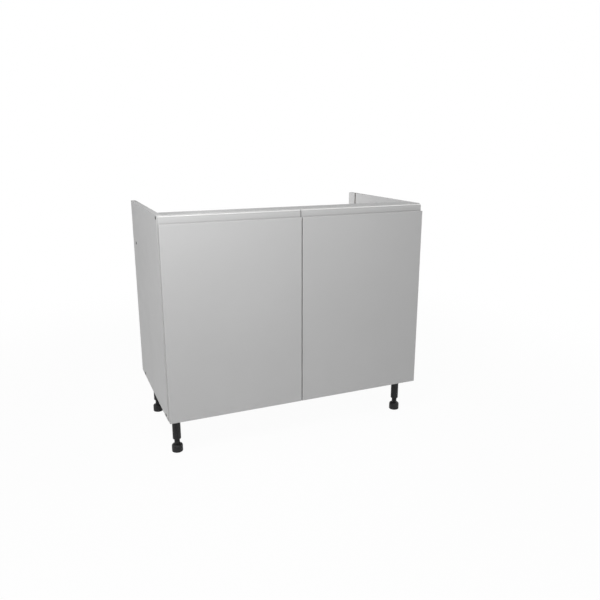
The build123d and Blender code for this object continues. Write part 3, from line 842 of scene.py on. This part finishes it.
for leg in ("front_left", "front_right", "rear_left", "rear_right"):
    node = leg + "_leg_foot"
    low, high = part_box(node)
    centre = (low + high) / 2
    mesh = bmesh.new()
    threaded_stem(mesh, centre, FOOT_SHOULDER, high.z)
    foot_pad(mesh, centre)
    bmesh.ops.remove_doubles(mesh, verts=mesh.verts, dist=SAME_POINT)
    open_rims = [edge for edge in mesh.edges if edge.is_boundary]
    bmesh.ops.triangle_fill(mesh, edges=open_rims, use_beauty=True)
    foot = make_piece(leg + "_threaded_foot", mesh, leg + "_foot", "leg_plastic")
    shade_by_angle(foot, degrees=30)
    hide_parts(node)
    print(foot.name, len(foot.data.polygons), "faces")

# %% [markdown]
# ## Screw caps
# In the photograph the screws through the side stand a little proud and dark. Such screws get
# push-in caps: a low dome with a short stem that grips the screw's socket. The outline of half a
# cap, spun once about the screw's axis, gives the whole piece. Four on each side stay together as
# one object. All the screws are one piece of the frame, so each one's axis is found by walking from
# point to point along its edges until none is left.

# %% Caps
CAP_RADIUS = 5.6 * MM
CAP_RISE = 1.7 * MM
CAP_RIM = 0.5 * MM
CAP_STEPS = 6
CAP_SEGMENTS = 24
STEM_RADIUS = 1.5 * MM
STEM_LENGTH = 1.2 * MM
NEAR_FACE = 1 * MM            # points this close to the side's outer face belong to a head


def screw_axes():
    """Where each screw goes through a side: its y and its z."""
    heads = bmesh.new()
    heads.from_mesh(frame["nodes"]["carcass_screws"].data)
    bmesh.ops.remove_doubles(heads, verts=heads.verts, dist=WELD)
    waiting = {vert for vert in heads.verts if vert.co.x < cad_low.x + NEAR_FACE}
    axes = []
    while waiting:
        island, reached = [], [waiting.pop()]
        while reached:
            vert = reached.pop()
            island.append(vert.co.copy())
            neighbours = {edge.other_vert(vert) for edge in vert.link_edges} & waiting
            waiting -= neighbours
            reached += neighbours
        depths, heights = [co.y for co in island], [co.z for co in island]
        axes.append(((min(depths) + max(depths)) / 2, (min(heights) + max(heights)) / 2))
    heads.free()
    return axes


def screw_cap(mesh, hand, y, z):
    """One cap on a side's outer face; the hand is -1 on the left and 1 on the right."""
    outline = [(-STEM_LENGTH, 0), (-STEM_LENGTH, STEM_RADIUS), (0, STEM_RADIUS), (0, CAP_RADIUS)]
    for step in range(CAP_STEPS + 1):
        lean = step / CAP_STEPS * math.pi / 2
        rise = CAP_RIM + (CAP_RISE - CAP_RIM) * math.sin(lean)
        outline.append((rise, CAP_RADIUS * math.cos(lean)))
    points = [(hand * (cad_high.x + out), y + across, z) for out, across in outline]
    bmesh.ops.spin(
        mesh, geom=trace(mesh, points), cent=(0, y, z), axis=(1, 0, 0),
        angle=math.tau, steps=CAP_SEGMENTS, use_merge=True,
    )


spots = screw_axes()
print("screws at, mm:", sorted((round(y / MM, 1), round(z / MM, 1)) for y, z in spots))
for hand, side in ((-1, "left"), (1, "right")):
    mesh = bmesh.new()
    for y, z in spots:
        screw_cap(mesh, hand, y, z)
    caps = make_piece(side + "_screw_caps", mesh, "carcass", "leg_plastic")
    shade_by_angle(caps, degrees=40)
    print(caps.name, len(caps.data.polygons), "faces")

# %% [markdown]
# ## Adjusting screws
# Each hinge arm carries a screw that moves the door sideways. The drawing leaves it out. What shows
# is its low round head with a cross recess, on the arm's back. The head is five loops of edges,
# three round ones and two crosses, that are bridged by walls. The space between the rim and the
# upper cross becomes the top.

# %% Adjusting screws
HEAD_RADIUS = 3.2 * MM
HEAD_RISE = 0.9 * MM
HEAD_CHAMFER = 0.35 * MM
HEAD_SEGMENTS = 24
RECESS_DEPTH = 0.6 * MM
CROSS_REACH = 2.0 * MM
CROSS_HALF = 0.4 * MM
HEAD_FROM_TIP = 30 * MM       # from the front end of the arm


def ring(radius):
    """Corners of a round outline."""
    turns = [math.tau * step / HEAD_SEGMENTS for step in range(HEAD_SEGMENTS)]
    return [(radius * math.cos(turn), radius * math.sin(turn)) for turn in turns]


def cross():
    """The twelve corners of a cross: three of them, turned by a right angle four times."""
    arm = [(CROSS_REACH, -CROSS_HALF), (CROSS_REACH, CROSS_HALF), (CROSS_HALF, CROSS_HALF)]
    corners = []
    for _ in range(4):
        corners += arm
        arm = [(-up, across) for across, up in arm]
    return corners


def cross_head(mesh, hand, back_x, y, z):
    """One head: its base touches the arm's back, and it faces the middle of the unit."""
    def loop(rise, outline):
        x = back_x - hand * rise
        corners = [mesh.verts.new((x, y + across, z + up)) for across, up in outline]
        return [mesh.edges.new(pair) for pair in zip(corners, corners[1:] + corners[:1])]

    base = loop(0, ring(HEAD_RADIUS))
    side = loop(HEAD_RISE - HEAD_CHAMFER, ring(HEAD_RADIUS))
    rim = loop(HEAD_RISE, ring(HEAD_RADIUS - HEAD_CHAMFER))
    mouth = loop(HEAD_RISE, cross())
    bottom = loop(HEAD_RISE - RECESS_DEPTH, cross())
    for lower, upper in ((base, side), (side, rim), (bottom, mouth)):
        bmesh.ops.bridge_loops(mesh, edges=lower + upper)
    for flat in (base, bottom):
        bmesh.ops.edgeloop_fill(mesh, edges=flat)
    bmesh.ops.triangle_fill(mesh, edges=rim + mouth, use_beauty=True)


for hand, side in ((-1, "left"), (1, "right")):
    mesh = bmesh.new()
    for level in ("lower", "upper"):
        low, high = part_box(f"{side}_{level}_hinge_arm")
        back_x = high.x if hand < 0 else low.x
        cross_head(mesh, hand, back_x, low.y + HEAD_FROM_TIP, (low.z + high.z) / 2)
    heads = make_piece(side + "_adjusting_screws", mesh, "carcass", "plated_steel")
    print(heads.name, len(heads.data.polygons), "faces")

# %% [markdown]
# ## Camera
# The view was worked out from the straight edges of the unit in the photograph: where the camera
# stood, which way it looked, and how long its lens was. It looks slightly down and to the right.

# %% Camera
CAMERA_PLACE = (-0.8442, -2.2262, 1.1029)
HEADING, DIP = 23.274, 14.787
LENS = 36.35

camera_data = bpy.data.cameras.new("camera")
camera_data.lens = LENS
camera_data.sensor_width = 36.0
camera_data.clip_end = 100.0
camera = bpy.data.objects.new("camera", camera_data)
camera.location = CAMERA_PLACE
camera.rotation_euler = (math.radians(90 - DIP), 0, math.radians(-HEADING))
scene.collection.objects.link(camera)
scene.camera = camera
print("camera at", CAMERA_PLACE)

# %% [markdown]
# ## Floor and background
# A catalogue picture stands on white that has no horizon. The world is plain white wherever the
# camera or a reflection looks at it, and a soft grey as a light. The floor is a real pale surface
# that takes the shadow, and it fades to the same white a few steps away.

# %% White world and pale floor
WHITE = (1, 1, 1, 1)
FLOOR_GREY = (0.75, 0.75, 0.75, 1)
WORLD_LIGHT = 0.1
FLOOR_RADIUS = 30.0
FLOOR_FADE = (0.9, 2.6)       # distances from the middle where the fade starts and ends
FLOOR_WHITENING = 0.96        # share of white before the fade


def white_where_seen(tree):
    """One where the camera, a mirror or glass looks, and nought for light that only bounces."""
    path = tree.nodes.new("ShaderNodeLightPath").outputs
    in_shine = calculate(tree, "MAXIMUM", path["Is Glossy Ray"], path["Is Transmission Ray"])
    return calculate(tree, "MAXIMUM", path["Is Camera Ray"], in_shine)


world = bpy.data.worlds.new("white_world")
world.use_nodes = True
scene.world = world
sky = world.node_tree
sky.nodes.clear()
glow = add_node(sky, "Background", {"Color": WHITE})
seen = calculate(sky, "MULTIPLY", white_where_seen(sky), 1.0 - WORLD_LIGHT)
sky.links.new(calculate(sky, "ADD", WORLD_LIGHT, seen), glow.inputs["Strength"])
sky_output = sky.nodes.new("ShaderNodeOutputWorld")
sky.links.new(glow.outputs[0], sky_output.inputs["Surface"])

floor_mesh = bmesh.new()
bmesh.ops.create_circle(floor_mesh, cap_ends=True, radius=FLOOR_RADIUS, segments=96)
floor_data = bpy.data.meshes.new("floor")
floor_mesh.to_mesh(floor_data)
floor_mesh.free()
floor = bpy.data.objects.new("floor", floor_data)
scene.collection.objects.link(floor)

floor_material = bpy.data.materials.new("pale_floor")
floor_material.use_nodes = True
tree = floor_material.node_tree
tree.nodes.clear()
place = tree.nodes.new("ShaderNodeTexCoord")
distance = on_vectors(tree, "LENGTH", place.outputs["Object"])
fade = add_node(
    tree, "MapRange",
    {"Value": distance.outputs["Value"], "From Min": FLOOR_FADE[0], "From Max": FLOOR_FADE[1],
     "To Min": FLOOR_WHITENING, "To Max": 1.0},
    interpolation_type="SMOOTHSTEP",
)
matt = add_node(tree, "BsdfDiffuse", {"Color": FLOOR_GREY})
white = add_node(tree, "Emission", {"Color": WHITE, "Strength": 1.0})
share = calculate(tree, "MULTIPLY", fade.outputs[0], white_where_seen(tree))
blend = add_node(tree, "MixShader", {0: share, 1: matt.outputs[0], 2: white.outputs[0]})
floor_output = tree.nodes.new("ShaderNodeOutputMaterial")
tree.links.new(blend.outputs[0], floor_output.inputs["Surface"])
floor_data.materials.append(floor_material)
floor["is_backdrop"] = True
print("floor radius", FLOOR_RADIUS)

# %% [markdown]
# ## Studio lamps
# The doors are brightest at the top left and fall off towards the bottom right, so a small soft box
# stands near that corner, and two large ones fill in from the front. The strongest stands far to
# the left and behind the plane of the doors, so that it lights the left side but not the doors. Two
# small ones hang over the unit: one lights what shows of the inside, and the other carries the
# bright line on the rounded top edges through to the right-hand end. The last two keep the back and
# the right side readable.

# %% Lamps
# place, point that it faces, size in metres, power in watts
LAMPS = {
    "high_front": ((0.3, -2.6, 2.9), (0.0, -0.28, 0.5), 1.8, 19.0),
    "low_front": ((0.8, -2.8, 0.9), (0.0, -0.28, 0.5), 2.0, 7.9),
    "near_left": ((-0.9, -1.2, 1.8), (-0.4, -0.28, 0.6), 0.7, 21.5),
    "far_left": ((-5.0, 0.6, 1.5), (0.0, 0.0, 0.6), 2.4, 66.0),
    "over_inside": ((-0.1, 0.5, 1.5), (0.48, 0.1, 0.85), 0.5, 5.0),
    "over_right": ((0.75, -0.28, 1.6), (0.45, -0.27, 0.87), 0.4, 2.2),
    "low_rear": ((0.25, 2.7, 0.42), (0.0, 0.28, 0.4), 0.8, 16.0),
    "low_right": ((3.0, 0.4, 0.7), (0.5, 0.0, 0.45), 1.4, 25.0),
}
for name, (place, target, size, power) in LAMPS.items():
    lamp_data = bpy.data.lights.new(name, "AREA")
    lamp_data.shape = "DISK"
    lamp_data.size = size
    lamp_data.energy = power
    lamp = bpy.data.objects.new(name, lamp_data)
    lamp.location = place
    lamp.rotation_euler = (Vector(target) - Vector(place)).to_track_quat("-Z", "Y").to_euler()
    scene.collection.objects.link(lamp)
print("lamps:", ", ".join(LAMPS))

# %% [markdown]
# ## Finish
# The colours are shown as they are, with no film curve. The last lines write down how large the
# model is after dressing.

# %% View settings, sizes and the end
scene.view_settings.view_transform = "Standard"
low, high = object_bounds()
print("size", [round(value, 4) for value in high - low])
